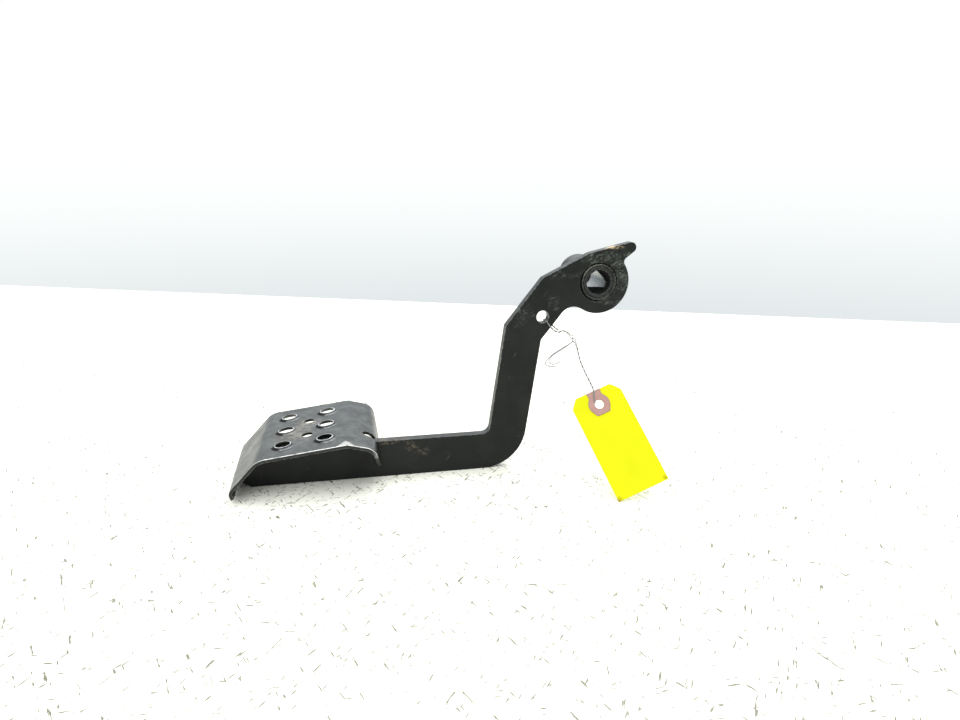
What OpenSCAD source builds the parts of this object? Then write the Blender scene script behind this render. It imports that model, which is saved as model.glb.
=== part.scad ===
// Foot brake pedal lever: a plate arm with a formed foot pad at one end and a
// welded pivot hub at the other, and a wired inventory tag tied to the arm.
// Frame: the origin is on the pivot axis, in the middle of the arm plate's
// thickness. X runs from the pad towards the pivot, Y runs from the plain
// side of the arm towards the hub, and Z is up. Millimetres.

/* [Arm plate] */
// Width of the flat bar that the arm's shape is cut to
arm_w = 25.4; // [24:0.1:27]
// Thickness of the arm plate
arm_t = 6.35; // [5:0.05:8]
// Outer radius of the pivot eye
eye_r = 21; // [20:0.5:23]
// Height of the lower run's bottom edge
run_bottom = -127.4; // [-130:0.1:-126]
// Slope of the riser, in degrees
riser_a = 81.65; // [80:0.05:83]
// Distance of the riser's left edge from the pivot
riser_d = 58.3; // [57:0.1:60]
// Slope of the upper run, in degrees
upper_a = 51.65; // [50:0.05:53]
// Distance of the upper run's left edge from the pivot
upper_d = 32.5; // [32:0.1:34]
// Outer radius of the lower elbow
elbow_r = 30; // [26:1:32]

/* [Stop finger] */
// Slope of the brow that leads up to the finger
brow_a = 26.2; // [25:0.1:28]
// Distance of the brow's line from the pivot
brow_d = 20.4; // [20:0.1:21]
// Slope of the finger's top edge
finger_a = 13.2; // [12:0.1:14]
// Distance of the finger's top line from the pivot
finger_d = 20.4; // [20.2:0.1:21]
// Slope of the finger's underside
under_a = 38; // [36:1:40]
// Distance of the underside's line from the pivot
under_d = 0.9; // [0.5:0.1:1.5]
// Radius of the finger's tip
tip_r = 3.5; // [2:0.1:4.2]

/* [Return spring hole] */
// X of the hole in the upper run
spring_x = -38; // [-39:0.1:-37]
// Z of the hole in the upper run
spring_z = -22; // [-23:0.1:-21]
// Radius of the hole
spring_r = 4.2; // [3.5:0.1:4.5]

/* [Pivot hub] */
// Outer radius of the hub's barrel
hub_r = 14; // [13:0.1:16]
// Length of the barrel behind the arm plate
hub_l = 38; // [30:0.5:46]
// Radius of the spigot that passes through the arm plate
spigot_r = 12.1; // [11.5:0.1:12.5]
// Gap between the spigot and the hole in the arm plate
spigot_gap = 0.6; // [0.3:0.05:0.7]
// Outer radius of the sleeve pressed into the hub
sleeve_r = 10.3; // [9.8:0.1:11]
// Radius of the sleeve's bore
bore_r = 8.25; // [8:0.05:8.5]

/* [Foot pad] */
// Thickness of the pad's sheet
sheet_t = 2.0; // [1.8:0.1:2.6]
// Y of the pad's edge on the plain side of the arm
pad_y0 = -25.3; // [-26:0.1:-24]
// Y of the pad's edge on the hub side
pad_y1 = 61.1; // [60:0.1:63]
// Distance between the two rows of grip holes
grip_gap = 26.6; // [26:0.1:27]
// Spacing of the holes along a row
grip_pitch = 25.4; // [25:0.1:26]
// How far the plain holes lie off the middle, towards the pivot
plain_shift = 1.1; // [0:0.1:1.5]
// Radius of a grip hole at the top of its raised rim
grip_r = 4.7; // [4.4:0.1:5]
// Height of a grip hole's raised rim
grip_h = 1.2; // [1:0.1:1.8]
// Radius of the two plain holes
plain_r = 3.6; // [3:0.1:3.8]
// Width of the slot that the arm passes through
slot_w = 7.4; // [7:0.1:8]
// Z of the rear flange's lower edge
flange_z = -125.5; // [-126:0.1:-122]

/* [Inventory tag] */
// Width of the card
tag_w = 34.9; // [34:0.1:36]
// Length of the card
tag_l = 69.85; // [69:0.05:71]
// Thickness of the card
tag_t = 0.35; // [0.3:0.05:0.5]
// Radius of the tag's hole
tag_hole_r = 3; // [2.5:0.1:3.2]
// Diameter of one strand of the tie wire
wire_d = 0.6; // [0.5:0.1:0.8]

/* [Hidden] */
$fn = 96;
ARC_STEP = 6;
EPS = 0.02;
SEAT_GAP = 0.1;
STEEL_BLACK = "#26282a";
STEEL_BARE = "#a8acae";
WELD_BLACK = "#303234";
CARD_YELLOW = "#f6f01e";
PATCH_BROWN = "#9a5a4a";
WIRE_GREY = "#a9abad";

half_t = arm_t / 2;
run_top = run_bottom + arm_w;
hole_r = spigot_r + spigot_gap;

// The pad's folded profile, on the outer face, from the lip to the rear flange,
// where it crosses the arm
lip_end = [-242.1, -126.6];
lip_corner = [-243.9, -121.84];
ramp_top = [-223.6, -100.2];
tread_end = [-168.7, -93.75];
heel_corner = [-150.5, -98.4];
flange_lean = 82.5;
flange_end = heel_corner
    + (heel_corner.y - flange_z) * [1 / tan(flange_lean), -1];
lip_bend = 5;
ramp_bend = 13;
tread_bend = 5;
heel_bend = 10;
// The lip's fold isn't square: it runs down the ramp towards the hub side
lip_skew = 5.2;
lip_floor = -126.9;
lip_join = 7;

// Directions and lines in the plate: a line is [slope, distance from origin]
function along(a) = [cos(a), sin(a)];
function left(a) = [-sin(a), cos(a)];
function unit(v) = v / norm(v);
function cross2(a, b) = a.x * b.y - a.y * b.x;
function slope(a, b) = atan2(b.y - a.y, b.x - a.x);
// The point where two lines meet
function meet(p, q) =
    p[1] * left(p[0]) + along(p[0])
    * (q[1] - p[1] * (left(p[0]) * left(q[0]))) / (along(p[0]) * left(q[0]));
// The line through two points
function line_of(a, b) = [slope(a, b), a * left(slope(a, b))];

// Points of an arc about c, from angle a0 to a1
function arc(c, r, a0, a1) =
    let (n = max(2, ceil(abs(a1 - a0) / ARC_STEP)))
    [for (i = [0 : n]) c + r * along(a0 + (a1 - a0) * i / n)];

// One corner [point, radius] rounded off between its neighbours a and b
function corner(a, p, r, b) =
    let (u = unit(a - p), v = unit(b - p), half = acos(u * v) / 2)
    r <= 0 || half > 89.9 ? [p] :
    let (
        c = p + unit(u + v) * r / sin(half),
        turn = sign(cross2(p - a, b - p)),
        a0 = slope(c, p + u * r / tan(half)),
        sweep = (180 - 2 * half) * turn
    )
    arc(c, r, a0, a0 + sweep);

// An open path of [point, radius] with its inner corners rounded
function rounded(path) = [
    for (i = [0 : len(path) - 1])
        each (i == 0 || i == len(path) - 1 ? [path[i][0]]
            : corner(path[i - 1][0], path[i][0], path[i][1], path[i + 1][0]))
];

// The arm's straight edges
bottom_line = [0, run_bottom];
top_line = [0, run_top];
riser_left = [riser_a, riser_d];
riser_right = [riser_a, riser_d - arm_w];
upper_left = [upper_a, upper_d];
upper_right = [upper_a, upper_d - arm_w];
brow_line = [brow_a, brow_d];
finger_line = [finger_a, finger_d];
under_line = [under_a, under_d];

// Hollow corners where a straight edge runs into the round eye
neck_r = 10;
crook_r = 3;
function hollow(l, r, side) =
    (l[1] - r) * left(l[0])
    + side * along(l[0]) * sqrt(pow(eye_r + r, 2) - pow(l[1] - r, 2));
neck_c = hollow(upper_right, neck_r, -1);
crook_c = hollow(under_line, crook_r, 1);

// The arm's nose lies under the pad, just clear of its inner face
tread_under = line_of(ramp_top, tread_end) - [0, sheet_t + SEAT_GAP];
ramp_line = line_of(ramp_top, lip_corner);
ramp_under = ramp_line + [0, sheet_t + SEAT_GAP];
nose_low = [-231.4, run_bottom];
nose_tip = [-237.2, -123.9];
nose_back = [-236.9, -118.6];
nose_high = meet(ramp_under, [0, -114.8]);
// Under the tread the arm stands taller, up to the pad's inner face
step_foot = [-161.5, run_top];
step_line = line_of(step_foot, step_foot + along(115));

arm_outline = concat(
    rounded([
        [nose_tip, 0],
        [nose_low, 1],
        [meet(bottom_line, riser_right), elbow_r],
        [meet(riser_right, upper_right), 3],
        [neck_c + neck_r * left(upper_a), 0]
    ]),
    arc(neck_c, neck_r, upper_a + 90, slope(neck_c, [0, 0])),
    arc([0, 0], eye_r, slope([0, 0], neck_c), slope([0, 0], crook_c)),
    arc(crook_c, crook_r, slope(crook_c, [0, 0]) + 360, under_a + 90),
    rounded([
        [crook_c + crook_r * left(under_a), 0],
        [meet(under_line, finger_line), tip_r],
        [meet(finger_line, brow_line), 14],
        [meet(brow_line, upper_left), 2],
        [meet(upper_left, riser_left), 3],
        [meet(riser_left, top_line), 5.5],
        [step_foot, 1.5],
        [meet(step_line, tread_under), 1.5],
        [meet(tread_under, ramp_under), 1.6],
        [nose_high, 0],
        [nose_back, 0]
    ])
);

// Carries a drawing in X and Z through the thickness from y0 to y1
module through(y0, y1)
    translate([0, y1, 0]) rotate([90, 0, 0]) linear_extrude(y1 - y0) children();

// A round bar or hole along Y
module bar_y(r, y0, y1, r_end = -1)
    translate([0, y0, 0]) rotate([-90, 0, 0])
        cylinder(h = y1 - y0, r1 = r, r2 = r_end < 0 ? r : r_end);

// --- Arm plate: one flat plate with the eye, finger and spring hole
module arm_plate() color(STEEL_BLACK) difference() {
    through(-half_t, half_t) polygon(arm_outline);
    bar_y(hole_r, -half_t - 1, half_t + 1);
    bar_y(hole_r + 0.5, -half_t - EPS, -half_t + 0.5, hole_r);
    translate([spring_x, 0, spring_z]) bar_y(spring_r, -half_t - 1, half_t + 1);
}

// --- Pivot hub: a turned barrel whose spigot passes through the arm
hub_end = half_t + hub_l;
module pivot_hub() color(STEEL_BLACK) difference() {
    union() {
        bar_y(spigot_r, -half_t + 0.1, half_t + 1);
        bar_y(hub_r, half_t, hub_end - 1);
        bar_y(hub_r, hub_end - 1, hub_end, hub_r - 1);
    }
    bar_y(sleeve_r, -half_t - 1, hub_end + 1);
    bar_y(sleeve_r + 0.6, -half_t + 0.1 - EPS, -half_t + 0.7, sleeve_r);
}

// --- Pivot sleeve: the bearing liner pressed into the hub
module pivot_sleeve() color(STEEL_BARE) difference() {
    union() {
        bar_y(sleeve_r - 0.4, -half_t + 0.1, -half_t + 0.5, sleeve_r);
        bar_y(sleeve_r, -half_t + 0.5, hub_end - 0.5);
    }
    bar_y(bore_r, -half_t - 1, hub_end + 1);
}

// --- Hub weld: the fillet all round the hub on the arm's back face
weld_leg = 4;
module hub_weld() color(WELD_BLACK)
    rotate([-90, 0, 0]) rotate_extrude() polygon([
        [hub_r, half_t],
        [hub_r + weld_leg, half_t],
        [hub_r + 0.85 * weld_leg, half_t + 0.4 * weld_leg],
        [hub_r + 0.4 * weld_leg, half_t + 0.85 * weld_leg],
        [hub_r, half_t + weld_leg]
    ]);

// --- Foot pad: one folded sheet with a rolled lip, a tread and a rear flange
function reversed(v) = [for (i = [len(v) - 1 : -1 : 0]) v[i]];
// The outline of a sheet folded along a path, whose inner face is on its right
function sheet_line(a, b, inset) = line_of(a, b) - [0, inset];
function inset_path(p, inset) = rounded([
    for (i = [0 : len(p) - 1])
        i == 0 ? [p[0][0] - inset * left(slope(p[0][0], p[1][0])), 0] :
        i == len(p) - 1 ? [p[i][0] - inset * left(slope(p[i - 1][0], p[i][0])), 0] :
        [
            meet(
                sheet_line(p[i - 1][0], p[i][0], inset),
                sheet_line(p[i][0], p[i + 1][0], inset)
            ),
            p[i][1] - inset
        ]
]);
function folded(p) = concat(inset_path(p, 0), reversed(inset_path(p, sheet_t)));

up_ramp = unit(ramp_top - lip_corner);
tread_profile = folded([
    [lip_corner + lip_join * up_ramp, 0],
    [ramp_top, ramp_bend],
    [tread_end, tread_bend],
    [heel_corner, heel_bend],
    [flange_end, 0]
]);
lip_profile = folded([
    [lip_end, 0],
    [lip_corner, lip_bend],
    [lip_corner + 2 * lip_join * up_ramp, 0]
]);

// The sheet without its holes: the skewed lip joins the rest on the ramp's plane
module pad_sheet() {
    ramp_a = slope(lip_corner, ramp_top);
    through(pad_y0, pad_y1) polygon(tread_profile);
    intersection() {
        translate([lip_corner.x, 0, lip_corner.y])
            rotate([0, -ramp_a, 0]) rotate([0, 0, lip_skew]) rotate([0, ramp_a, 0])
            translate([-lip_corner.x, 0, -lip_corner.y])
            through(pad_y0 - 5, pad_y1 + 5) polygon(lip_profile);
        translate([-270, pad_y0, lip_floor]) cube([60, pad_y1 - pad_y0, 40]);
    }
}

// Places children on the tread: u along its slope, y across, w above its face
tread_a = slope(ramp_top, tread_end);
tread_mid = (ramp_top + tread_end) / 2;
pad_mid_y = (pad_y0 + pad_y1) / 2;
module on_tread(u, y)
    translate([tread_mid.x, pad_mid_y + y, tread_mid.y]) rotate([0, -tread_a, 0])
        translate([u, 0, 0]) children();

GRIP_SPOTS = [for (u = [-0.5, 0.5]) for (y = [-1 : 1]) [grip_gap * u, grip_pitch * y]];
module foot_pad() color(STEEL_BLACK) difference() {
    union() {
        pad_sheet();
        for (s = GRIP_SPOTS) on_tread(s.x, s.y)
            translate([0, 0, -0.5])
                cylinder(h = grip_h + 0.5, r1 = grip_r + 3, r2 = grip_r + 0.5);
    }
    for (s = GRIP_SPOTS) on_tread(s.x, s.y)
        translate([0, 0, -sheet_t - EPS])
            cylinder(h = sheet_t + grip_h + 2 * EPS, r1 = grip_r + 3.2, r2 = grip_r);
    for (y = [-0.5, 0.5]) on_tread(plain_shift, grip_pitch * y)
        translate([0, 0, -sheet_t - EPS])
            cylinder(h = sheet_t + 2 * EPS, r1 = plain_r + 0.8, r2 = plain_r);
    // Slot for the arm, open through the rear flange
    translate([-155.3, 0, -140]) cylinder(h = 60, r = slot_w / 2);
    translate([-155.3, -slot_w / 2, -140]) cube([30, slot_w, 60]);
    // The flange's corner on the plain side is cut back to the arm
    translate([-166, 0, 0]) rotate([90, 0, 90]) linear_extrude(30) polygon([
        [pad_y0 - 1, -103],
        [-slot_w / 2, -120.5],
        [-slot_w / 2 + 1, -140],
        [pad_y0 - 1, -140]
    ]);
    // The flange's far corner is clipped
    translate([-166, 0, 0]) rotate([90, 0, 90]) linear_extrude(30) polygon([
        [pad_y1 - 8, flange_z - 1],
        [pad_y1 + 1, flange_z + 8],
        [pad_y1 + 1, flange_z - 1]
    ]);
}

// A straight fillet bead in the corner between the arm's side and the pad,
// from a to b in X and Z; lean is the direction into the corner
module bead(a, b, leg, side) {
    run = norm(b - a);
    translate([a.x, side * half_t, a.y]) rotate([0, -slope(a, b), 0])
        rotate([90, 0, 90]) linear_extrude(run) polygon([
            [0, 0],
            [side * leg, 0],
            [side * leg * 0.62, -leg * 0.62],
            [0, -leg]
        ]);
}

// --- Ramp welds: one bead each side, between the arm's nose and the ramp
module ramp_welds() color(WELD_BLACK)
    for (side = [-1, 1])
        bead(nose_high + [1.2, 0.6], meet(tread_under, ramp_under) - 2.2 * [1, 1.2], 3, side);

// --- Flange weld: one bead on the hub side, between the arm and the rear flange
module flange_weld() color(WELD_BLACK) {
    inner = [heel_corner.x - sheet_t - 0.4, run_top - 7];
    fall = 11;
    translate([inner.x, half_t, inner.y - fall])
        linear_extrude(fall) polygon([[0.9, 0], [0.9, 3], [-1, 1.9], [-2.4, 0]]);
}

// --- Inventory tag, hanging in front of the arm by its wire
tag_at = [-26.3, -27.8, -74.1];
tag_turn = [54.7, -21.2, 1.2];
hole_v = 9.45;
patch_r = 7.1;
patch_l = 16.2;
patch_neck = 9.8;
module on_tag(lift = 0) translate(tag_at) rotate(tag_turn)
    translate([0, 0, lift]) children();

module tag_card() color(CARD_YELLOW) on_tag() difference() {
    linear_extrude(tag_t) polygon([
        [0, -5.8],
        [5, 0],
        [tag_w - 5, 0],
        [tag_w, -5.8],
        [tag_w, -tag_l],
        [0, -tag_l]
    ]);
    translate([tag_w / 2, -hole_v, -1]) cylinder(h = 3, r = tag_hole_r);
}

module patch() translate([tag_w / 2, 0, 0]) difference() {
    linear_extrude(0.3) polygon(concat(
        [[patch_neck / 2, 0], [patch_neck / 2 - 0.4, -3]],
        arc([0, -hole_v], patch_r, 44, -30),
        [[patch_neck / 2 - 0.5, -patch_l], [0.5 - patch_neck / 2, -patch_l]],
        arc([0, -hole_v], patch_r, 210, 136),
        [[0.4 - patch_neck / 2, -3], [-patch_neck / 2, 0]]
    ));
    translate([0, -hole_v, -1]) cylinder(h = 3, r = tag_hole_r);
}
module tag_patch_front() color(PATCH_BROWN) on_tag(tag_t) patch();
module tag_patch_back() color(PATCH_BROWN) on_tag(-0.3) patch();

// Smooth route through hand-placed points, with k steps between each two
function spline(p, k) = [
    for (i = [0 : len(p) - 2])
        let (
            a = p[max(i - 1, 0)], b = p[i], c = p[i + 1],
            d = p[min(i + 2, len(p) - 1)]
        )
        for (j = [0 : k - (i == len(p) - 2 ? 0 : 1)])
            let (t = j / k)
            (2 * b + (c - a) * t + (2 * a - 5 * b + 4 * c - d) * t * t
                + (3 * b - 3 * c + d - a) * t * t * t) / 2
];

// Round tube of radius r swept along pts
module tube(pts, r, sides = 8) {
    n = len(pts);
    ts = [for (i = [0 : n - 1]) unit(pts[min(i + 1, n - 1)] - pts[max(i - 1, 0)])];
    first = unit(cross(ts[0], [0.31, 0.77, 0.55]));
    us = [
        for (
            i = 0, u = first;
            i < n;
            i = i + 1, u = i < n ? unit(u - (u * ts[i]) * ts[i]) : u
        ) u
    ];
    rings = [
        for (i = [0 : n - 1]) for (s = [0 : sides - 1])
            pts[i] + r * (cos(360 * s / sides) * us[i] + sin(360 * s / sides) * cross(ts[i], us[i]))
    ];
    polyhedron(rings, concat(
        [[for (s = [0 : sides - 1]) s]],
        [
            for (i = [0 : n - 2]) for (s = [0 : sides - 1])
                let (t = (s + 1) % sides)
                [i * sides + s, i * sides + sides + s, i * sides + sides + t, i * sides + t]
        ],
        [[for (s = [sides - 1 : -1 : 0]) (n - 1) * sides + s]]
    ), convexity = 6);
}

// The tie wire: round the arm's edge, through the spring hole, down to the tag
WIRE_ROUTE = [
    [-27.6, -4.4, -31],
    [-28.9, -2, -29.9],
    [-29.4, 1, -29.4],
    [-30.6, 3.9, -28.6],
    [-33, 4.5, -26.9],
    [-35.2, 3.6, -25.2],
    [-35.7, 0.4, -24.7],
    [-35.5, -3, -24.9],
    [-34.4, -4.2, -26.5],
    [-32.8, -4.6, -28.8],
    [-30, -5.2, -31.4],
    [-27.3, -5.9, -32.1],
    [-24.7, -6.4, -31.3],
    [-21.8, -8.2, -32.5],
    [-18.5, -11.2, -36.7],
    [-17.2, -14.2, -41.4],
    [-16.3, -18.2, -48.6],
    [-14.3, -23.2, -55.5],
    [-12, -26.2, -61],
    [-10, -26.6, -65],
    [-9.6, -28.3, -67.2],
    [-10, -30.1, -70],
    [-10.1, -31.9, -72.8],
    [-9.4, -32, -74.1],
    [-9.3, -30.6, -73.8],
    [-9.4, -28.8, -71],
    [-9.3, -27.1, -68.3],
    [-9.4, -26.3, -66]
];
module tie_wire() color(WIRE_GREY) tube(spline(WIRE_ROUTE, 2), wire_d * 0.62);

// The wire's two free ends, left over below the twist
TAIL_A_ROUTE = [
    [-18.9, -12.1, -36.9],
    [-23.5, -12.6, -39.6],
    [-28.6, -13.2, -42.1],
    [-33.9, -13.2, -45.6],
    [-37.4, -12.4, -49.6],
    [-37.7, -12.2, -52.4],
    [-34.4, -13, -53.6],
    [-30.6, -14, -53]
];
TAIL_B_ROUTE = [
    [-19.6, -11.2, -37.9],
    [-24, -11, -41.2],
    [-29, -10.6, -44.4],
    [-33, -10.2, -47.2],
    [-35.2, -11, -50.6],
    [-33, -12, -52.4],
    [-30, -12.6, -51.6],
    [-27.6, -13.4, -49.6]
];
module wire_tail_a() color(WIRE_GREY) tube(spline(TAIL_A_ROUTE, 2), wire_d / 2);
module wire_tail_b() color(WIRE_GREY) tube(spline(TAIL_B_ROUTE, 2), wire_d / 2);

arm_plate();
foot_pad();
pivot_hub();
pivot_sleeve();
hub_weld();
ramp_welds();
flange_weld();
tag_card();
tag_patch_front();
tag_patch_back();
tie_wire();
wire_tail_a();
wire_tail_b();
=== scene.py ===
import math
import random

import bmesh
import bpy
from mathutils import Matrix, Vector


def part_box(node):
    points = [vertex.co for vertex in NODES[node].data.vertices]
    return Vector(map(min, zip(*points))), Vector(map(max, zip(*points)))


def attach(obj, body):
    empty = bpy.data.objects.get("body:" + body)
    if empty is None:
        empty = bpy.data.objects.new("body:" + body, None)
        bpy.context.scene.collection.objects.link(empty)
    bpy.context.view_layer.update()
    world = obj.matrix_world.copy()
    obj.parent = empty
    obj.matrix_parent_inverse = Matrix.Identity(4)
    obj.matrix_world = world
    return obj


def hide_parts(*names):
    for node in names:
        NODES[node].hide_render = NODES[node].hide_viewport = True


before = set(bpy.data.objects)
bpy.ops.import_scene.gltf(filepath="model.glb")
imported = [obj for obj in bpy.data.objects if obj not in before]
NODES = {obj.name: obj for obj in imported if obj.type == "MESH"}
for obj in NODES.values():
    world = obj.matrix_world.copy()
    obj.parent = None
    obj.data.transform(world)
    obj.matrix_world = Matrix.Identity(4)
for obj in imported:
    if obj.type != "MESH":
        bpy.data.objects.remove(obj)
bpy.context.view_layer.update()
FLOOR_Z = -0.1274
scene = bpy.context.scene
scene.view_settings.view_transform = "Standard"


def link(obj):
    scene.collection.objects.link(obj)
    return obj


def mesh_object(name, bm, smooth_faces=True):
    """A new object from a finished bmesh, which is freed."""
    me = bpy.data.meshes.new(name)
    bm.to_mesh(me)
    bm.free()
    me.polygons.foreach_set("use_smooth", [smooth_faces] * len(me.polygons))
    return link(bpy.data.objects.new(name, me))


# ---------------------------------------------------------------- camera
SENSOR_MM = 36
LENS_MM = 24.32
NEAREST_SEEN = 0.01
cam_data = bpy.data.cameras.new("camera")
cam_data.sensor_fit = "HORIZONTAL"
cam_data.sensor_width = SENSOR_MM
cam_data.lens = LENS_MM
cam_data.clip_start = NEAREST_SEEN
cam = link(bpy.data.objects.new("camera", cam_data))
cam.location = (-0.158428, -0.408591, 0.066274)
cam.rotation_euler = (1.2977, -0.0006, -0.1903)
scene.camera = cam


# ---------------------------------------------------------------- cords
def mm(points):
    return [Vector(p) * 0.001 for p in points]


def smooth(points, steps):
    """A smooth line through given points, as the CAD source makes it."""
    out = []
    for i in range(len(points) - 1):
        a = points[max(i - 1, 0)]
        b, c = points[i], points[i + 1]
        d = points[min(i + 2, len(points) - 1)]
        for j in range(steps + (i == len(points) - 2)):
            t = j / steps
            out.append((2 * b + (c - a) * t + (2 * a - 5 * b + 4 * c - d) * t * t
                        + (3 * b - 3 * c + d - a) * t ** 3) / 2)
    return out


# Any direction will do that the wires don't start along
SIDEWAYS = Vector((0.31, 0.77, 0.55))


def frames_along(line):
    """Tangent and two normals at each point, carried along without twist."""
    n = len(line)
    tangents = [(line[min(i + 1, n - 1)] - line[max(i - 1, 0)]).normalized() for i in range(n)]
    u = tangents[0].cross(SIDEWAYS).normalized()
    out = []
    for t in tangents:
        u = (u - t * u.dot(t)).normalized()
        out.append((t, u, t.cross(u)))
    return out


TUBE_SIDES = 10
END_SHARE = 0.55


def tube_mesh(name, lines, radius):
    """One mesh of round tubes along lines, each a little narrower at its ends."""
    bm = bmesh.new()
    for line in lines:
        fr = frames_along(line)
        rings = []
        for i, p in enumerate(line):
            end = i in (0, len(line) - 1)
            r = radius * (END_SHARE if end else 1)
            ring = []
            for s in range(TUBE_SIDES):
                a = 2 * math.pi * s / TUBE_SIDES
                ring.append(bm.verts.new(p + r * (math.cos(a) * fr[i][1] + math.sin(a) * fr[i][2])))
            rings.append(ring)
        for a, b in zip(rings, rings[1:]):
            for s in range(TUBE_SIDES):
                t = (s + 1) % TUBE_SIDES
                bm.faces.new((a[s], a[t], b[t], b[s]))
        bm.faces.new(reversed(rings[0]))
        bm.faces.new(rings[-1])
    bmesh.ops.recalc_face_normals(bm, faces=bm.faces)
    return mesh_object(name, bm)


# The diameter of one strand, and of two twisted together
WIRE_D = 0.0006
# A twisted strand's radius, which keeps a tight pair a little under TWISTED_D across
STRAND_R = WIRE_D * 0.46
TWIST_PITCH = 0.0062
# The eye: how far along the wire, half how far it opens, and how long it is
EYE_AT = 0.0455
EYE_OPENS = 0.0011
EYE_LENGTH = 0.003
# The tag's hole: how far along the wire, how much the pair closes up, and over what length
HOLE_AT = 0.088
HOLE_SLIMS = 0.00014
HOLE_LEAD = 0.004
MAIN_STEPS = 12
END_STEPS = 8

WIRE_ROUTE = mm([
    (-27.6, -4.4, -31), (-28.9, -2, -29.9), (-29.4, 1, -29.4), (-30.6, 3.9, -28.6),
    (-33, 4.5, -26.9), (-35.2, 3.6, -25.2), (-35.7, 0.4, -24.7), (-35.5, -3, -24.9),
    (-34.4, -4.2, -26.5), (-32.8, -4.6, -28.8), (-30, -5.2, -31.4), (-27.3, -5.9, -32.1),
    (-24.7, -6.4, -31.3), (-21.8, -8.2, -32.5), (-18.5, -11.2, -36.7), (-17.2, -14.2, -41.4),
    (-16.3, -18.2, -48.6), (-14.3, -23.2, -55.5), (-12, -26.2, -61), (-10, -26.6, -65),
    (-9.6, -28.3, -67.2), (-10, -30.1, -70), (-10.1, -31.9, -72.8), (-9.4, -32, -74.1),
    (-9.3, -30.6, -73.8), (-9.4, -28.8, -71), (-9.3, -27.1, -68.3), (-9.4, -26.3, -66)])
TAIL_A_ROUTE = mm([
    (-18.9, -12.1, -36.9), (-23.5, -12.6, -39.6), (-28.6, -13.2, -42.1), (-33.9, -13.2, -45.6),
    (-37.4, -12.4, -49.6), (-37.7, -12.2, -52.4), (-34.4, -13, -53.6), (-30.6, -14, -53)])
TAIL_B_ROUTE = mm([
    (-19.6, -11.2, -37.9), (-24, -11, -41.2), (-29, -10.6, -44.4), (-33, -10.2, -47.2),
    (-35.2, -11, -50.6), (-33, -12, -52.4), (-30, -12.6, -51.6), (-27.6, -13.4, -49.6)])


def twisted(line, pitch, spread):
    """Two strands wound round a line; spread(run) is each strand's distance from it."""
    fr = frames_along(line)
    strands = [[], []]
    run = 0.0
    for i, p in enumerate(line):
        run += (p - line[max(i - 1, 0)]).length
        a = 2 * math.pi * run / pitch
        off = math.cos(a) * fr[i][1] + math.sin(a) * fr[i][2]
        strands[0].append(p + spread(run) * off)
        strands[1].append(p - spread(run) * off)
    return strands


def wire_spread(run):
    """Twisted tight, but open in a small eye, and closed up in the tag's hole."""
    eye = EYE_OPENS * math.exp(-((run - EYE_AT) / EYE_LENGTH) ** 2)
    slim = HOLE_SLIMS * min(1, max(0, (run - HOLE_AT) / HOLE_LEAD))
    return STRAND_R + eye - slim


wire_line = smooth(WIRE_ROUTE, MAIN_STEPS)
tie = tube_mesh("twisted_tie_wire", twisted(wire_line, TWIST_PITCH, wire_spread), STRAND_R)
tail_a = tube_mesh("wire_end_a", [smooth(TAIL_A_ROUTE, END_STEPS)], WIRE_D / 2)
tail_b = tube_mesh("wire_end_b", [smooth(TAIL_B_ROUTE, END_STEPS)], WIRE_D / 2)
for piece, node in ((tie, "tie_wire"), (tail_a, "wire_tail_a"), (tail_b, "wire_tail_b")):
    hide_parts(node)
    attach(piece, "root")


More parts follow.
